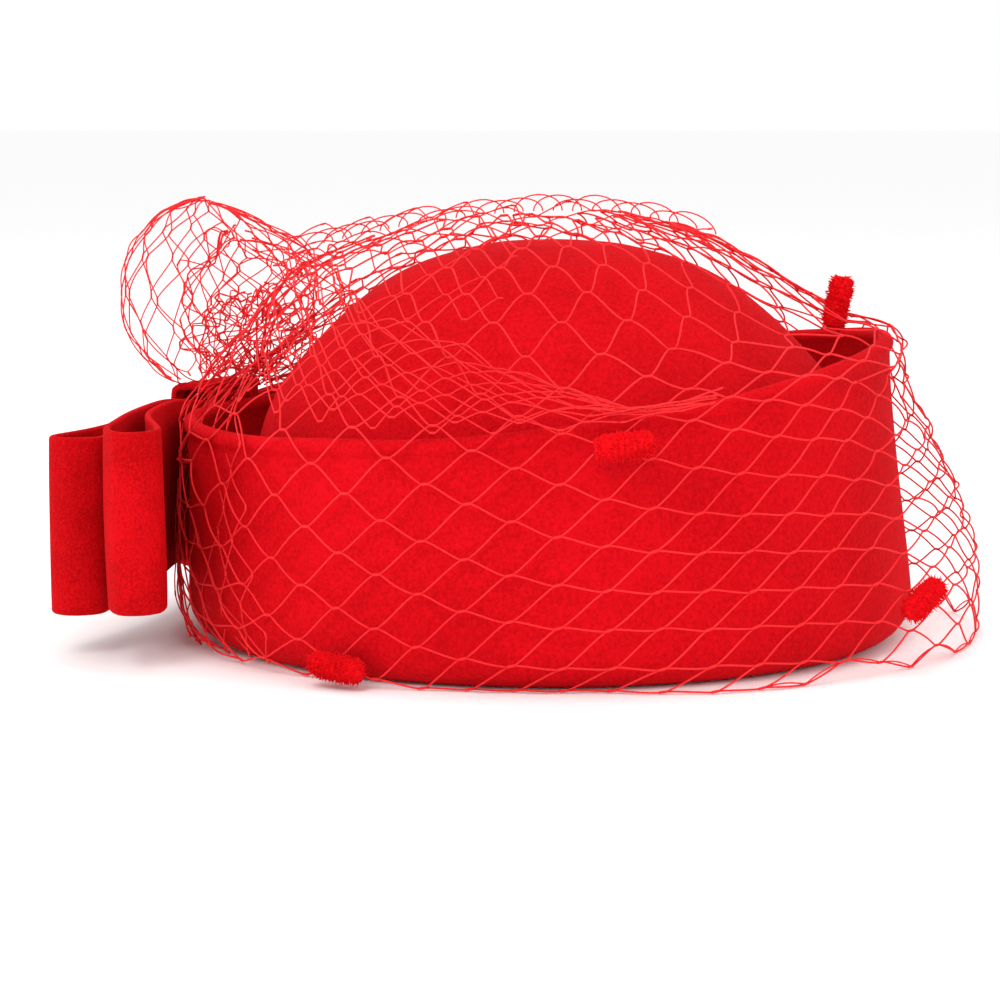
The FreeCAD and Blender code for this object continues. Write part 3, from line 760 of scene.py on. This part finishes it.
pouf = ball_net("veil_pouf_net", POUF_CENTRE + np.array([-6, 0, 0.0]), (24.0, 30.5, 30.0), 26, 7, -64, 84, 5,
                0.03, 0.02, slump=0.5)
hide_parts("veil_pouf")
ball_net("veil_pouf_inner", POUF_CENTRE + np.array([4, -2, -3.0]), (17.0, 20.0, 22.0), 22, 6, -70, 80, 9,
         0.18, 0.13, slump=0.3)
gather_centre = KNOT + KNOT_OUT * -6.0 + np.array([0, 0, 84.0])
gather = ball_net("veil_gather_net", gather_centre, (18.0, 15.0, 13.0), 26, 9, -70, 75, 13, 0.2, 0.22)
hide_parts("veil_gather")


def pleat_net(name, upper, lower, columns, rows, seed, lift, jitter):
    """Make a flap of netting that spans two curves, its rows running along them."""
    column, row, threads = diamond_lattice(columns, rows)
    rng = np.random.default_rng(seed)
    line_steps = 200
    top = smooth_line(upper, line_steps)
    bottom = smooth_line(lower, line_steps)
    at = np.clip(column / columns, 0, 1) * (line_steps - 1)
    share = (row / rows)[:, None]
    high = np.stack([np.interp(at, np.arange(line_steps), top[:, k]) for k in range(3)], 1)
    low = np.stack([np.interp(at, np.arange(line_steps), bottom[:, k]) for k in range(3)], 1)
    points = low * (1 - share) + high * share + rng.normal(0, jitter, low.shape)
    away, outwards = form_distance(points)
    rise = np.clip(lift - away, 0, 2.5) + np.abs(rng.normal(0, 0.25, len(away)))
    points = points + outwards * rise[:, None]
    piece = net_mesh(name, points, threads, outwards, rng, sleeve=0.9, sag=0.15, radius=TAUT_THREAD,
                     bend=0.05)
    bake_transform(piece)


# The edges between which the flaps of netting lie.
FOLD = [(-78, 0, 117), (-65, -28, 112.5), (-53.5, -55.4, 102.4), (-42, -67, 98), (-28, -78, 93.2),
        (-15, -87, 88.2), (-0.5, -92.5, 83), (11, -95, 79), (22, -96, 76.3), (41, -90.6, 77.6)]
UNDER_FOLD = [(-87, -57, 74.7), (-69, -76.4, 72), (-58, -84, 71.3), (-41.5, -91.7, 70.6),
              (-25.5, -96.4, 70.1), (-10, -98.7, 70.4), (6, -98.6, 71.4), (22, -96.5, 74.3),
              (41, -90.6, 77.6)]
CREST = [(-84, 22, 118), (-66, 14, 121), (-44, 2, 125), (-22, -8, 127), (-5, -20, 126)]
UNDER_CREST = [(-80, -20, 104), (-66, -45, 101), (-50, -60, 98), (-34, -68, 96), (-16, -72, 97)]
CREST_EDGE = [(-78, 10, 113), (-60, 8, 117), (-40, 6, 121), (-18, 5, 124), (5, 4, 125), (28, 3, 123.5),
              (48, 1, 118.5)]
CREST_FOOT = [(-72, -14, 106), (-56, -22, 109), (-37, -26, 112.5), (-17, -28, 115.5), (5, -29, 116.5),
              (26, -27, 115), (45, -24, 111)]
SIDE_BACK = [(-92, 42, 74), (-109, 22, 60), (-113, 4, 34), (-112, -6, 12), (-104, -30, 2)]
SIDE_FRONT = [(-84, -52, 78), (-86, -62, 60), (-84, -66, 40), (-82, -68, 20), (-74, -74, 4)]
pleat_net("veil_pleat_side", FOLD, UNDER_FOLD, 17, 6, 31, 1.2, 0.25)
pleat_net("veil_pleat_inner", np.array(FOLD) * 0.985, np.array(UNDER_FOLD) + [2, 0, 3], 16, 7, 32, 0.6, 0.4)
pleat_net("veil_pleat_top", CREST, UNDER_CREST, 11, 6, 33, 0.8, 0.6)
pleat_net("veil_pleat_back", SIDE_BACK, SIDE_FRONT, 9, 9, 34, 1.2, 0.6)
pleat_net("veil_crest", CREST_EDGE, CREST_FOOT, 17, 5, 35, -2.0, 0.5)


def crest_loops(count=12):
    """Return the row of small loops that stands along the net's upper edge, as paths."""
    rng = np.random.default_rng(36)
    foot = smooth_line(CREST_EDGE, count)
    t = np.linspace(0, math.pi, 13)[:, None]
    paths = []
    for a, b in list(zip(foot[:-1], foot[1:])) + list(zip(foot[:-2] * 0.5 + foot[1:-1] * 0.5,
                                                          foot[1:-1] * 0.5 + foot[2:] * 0.5)):
        reach = (b - a) * 0.62
        rise = np.array([0, rng.uniform(0.0, 4.0), rng.uniform(2.8, 5.0)])
        paths.append((a + b) / 2 - reach * np.cos(t) + rise * np.sin(t))
    return np.array(paths)


loose_threads("veil_crest_loops", crest_loops())


# ------------------------------------------------------------------ chenille dots
DOT_LENGTH = 17.0
DOT_WIDTH = 7.6
FIBRES = 2400                  # fibres in the pile of one dot
FIBRE_RADII = [0.26, 0.24, 0.10]
# Way round the hat in degrees, height, and how far each dot leans along the net and stands off it.
FRONT_DOTS = [(-81.0, 67.0, 4.0, 0.0), (-38.0, 19.5, 24.0, 0.0), (-8.0, 97.0, 90.0, 72.0),
              (48.0, 46.0, 30.0, 0.0)]
REAR_DOTS = [(-121.0, 5.6, -4.0, 0.0), (120.0, 92.0, 70.0, 0.0)]


def dot_place(angle, z):
    """Return a point on the draped net and the way outwards there."""
    turn = math.radians(angle)
    front, back, depth = (float(np.interp(z, FORM[:, 0], FORM[:, k])) for k in (1, 2, 3))
    half = front if math.cos(turn) >= 0 else back
    point = np.array([[half * math.cos(turn), depth * math.sin(turn), z]])
    return point[0], form_distance(point)[1][0]


def chenille(name, angle, z, lean, stand, body, seed):
    """Make one dot: a twisted core with a thick pile of short fibres round it."""
    centre, normal = dot_place(angle, z)
    stand = math.radians(stand)
    centre = centre + normal * (3.0 - 1.4 * math.sin(stand))
    level = np.cross(np.array([0, 0, 1.0]), normal)
    level /= np.linalg.norm(level)
    rise = np.cross(normal, level) * math.cos(stand) + normal * math.sin(stand)
    axis = level * math.cos(math.radians(lean)) + rise * math.sin(math.radians(lean))
    other = np.cross(level if stand > 0.5 else normal, axis)
    other /= np.linalg.norm(other)
    cross = np.cross(axis, other)
    rng = np.random.default_rng(seed)
    at = rng.uniform(-1, 1, FIBRES)
    angle_round = rng.uniform(0, 2 * math.pi, FIBRES)
    ray = (other[None] * np.cos(angle_round)[:, None] + cross[None] * np.sin(angle_round)[:, None]
           + axis[None] * rng.normal(0, 0.15, FIBRES)[:, None])
    ray /= np.linalg.norm(ray, axis=1)[:, None]
    reach = (DOT_WIDTH / 2) * (1 - 0.25 * np.abs(at) ** 6) * rng.uniform(0.82, 1.04, FIBRES)
    root = centre + axis * (at * (DOT_LENGTH / 2 - 1.0))[:, None]
    curl = rng.normal(0, 0.35, (FIBRES, 3))
    t = np.array([0.1, 0.55, 1.0])
    path = root[:, None] + ray[:, None] * (reach[:, None] * t)[..., None] + curl[:, None] * (t ** 2)[:, None]
    thick = np.broadcast_to(np.array(FIBRE_RADII), path.shape[:2])
    points, faces = tubes(path, thick, np.broadcast_to(axis, ray.shape), 3, 0)
    core_at = np.linspace(-1, 1, 26)
    core = centre + axis * (core_at * (DOT_LENGTH / 2 - 0.6))[:, None]
    core_radius = (DOT_WIDTH * 0.36) * (1 - core_at ** 8) ** 0.5 + 0.2 * np.sin(core_at * 30) + 0.25
    core_points, core_faces = tubes(core[None], core_radius[None], cross[None], 16, len(points))
    piece = mesh_object(name, np.concatenate([points, core_points]), faces + core_faces, tuft_red)
    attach(piece, body)
    return piece


for count, (angle, z, lean, stand) in enumerate(FRONT_DOTS):
    dot = chenille("dot_front_%d" % count, angle, z, lean, stand, "veil_front", 50 + count)
    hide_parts("dots_front")
for count, (angle, z, lean, stand) in enumerate(REAR_DOTS):
    dot = chenille("dot_rear_%d" % count, angle, z, lean, stand, "hat", 60 + count)
    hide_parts("dots_rear")


# ------------------------------------------------------------------ small parts kept from the model
paint("lip_wire", wire_grey)
paint("sweatband", band_red)
paint("lining_side", satin_red)
paint("lining_tip", satin_red)
paint("bow_backing", felt_red)
paint("clip_tabs", band_red)
for clip_part in ("clip_base_near", "clip_base_far", "clip_jaw_near", "clip_jaw_far", "clip_pins"):
    paint(clip_part, steel)
paint("clip_springs", spring_grey)


# ------------------------------------------------------------------ room, light and camera
def floor():
    """A plain pale sheet of board under and behind the hat."""
    material = bpy.data.materials.new("board_white")
    material.use_nodes = True
    shader = material.node_tree.nodes["Principled BSDF"]
    shader.inputs["Base Color"].default_value = (0.96, 0.96, 0.96, 1)
    shader.inputs["Roughness"].default_value = 0.8
    size = 30000.0
    points = [(-size, -size, -0.2), (size, -size, -0.2), (size, size, -0.2), (-size, size, -0.2)]
    board = mesh_object("floor_board", points, [(0, 1, 2, 3)], material, smooth=False)


LIGHT_TARGET = (0, 0, 0.05)


def area_light(name, place, size, power, target=LIGHT_TARGET):
    """Add a round lamp that looks at the hat."""
    data = bpy.data.lights.new(name, "AREA")
    data.shape = "DISK"
    data.size = size
    data.energy = power
    light = bpy.data.objects.new(name, data)
    bpy.context.scene.collection.objects.link(light)
    light.location = place
    light.rotation_euler = (Vector(target) - Vector(place)).to_track_quat("-Z", "Y").to_euler()


floor()
area_light("key_light", (-0.5, -1.1, 1.2), 0.8, 9)
area_light("fill_light", (1.0, -0.9, 0.7), 0.9, 3.5)
area_light("left_light", (-1.1, -0.6, 0.5), 0.6, 2.5, target=(-0.05, 0, 0.05))
area_light("top_light", (0.1, 0.3, 1.5), 1.0, 5)
world = bpy.data.worlds.new("pale_room")
world.use_nodes = True
world.node_tree.nodes["Background"].inputs["Color"].default_value = (1, 1, 1, 1)
world.node_tree.nodes["Background"].inputs["Strength"].default_value = 1.0
bpy.context.scene.world = world

CAMERA_PLACE = (-0.015, -0.7644, 0.1523)
CAMERA_DOWN = 8.495            # degrees below level
CAMERA_LENS = 92.06
camera_data = bpy.data.cameras.new("camera")
camera_data.lens = CAMERA_LENS
camera_data.sensor_width = 36.0
camera_data.clip_start = 0.01
camera = bpy.data.objects.new("camera", camera_data)
camera.location = CAMERA_PLACE
camera.rotation_euler = (math.radians(90 - CAMERA_DOWN), 0, 0)
bpy.context.scene.collection.objects.link(camera)
bpy.context.scene.camera = camera
bpy.context.scene.view_settings.view_transform = "Standard"
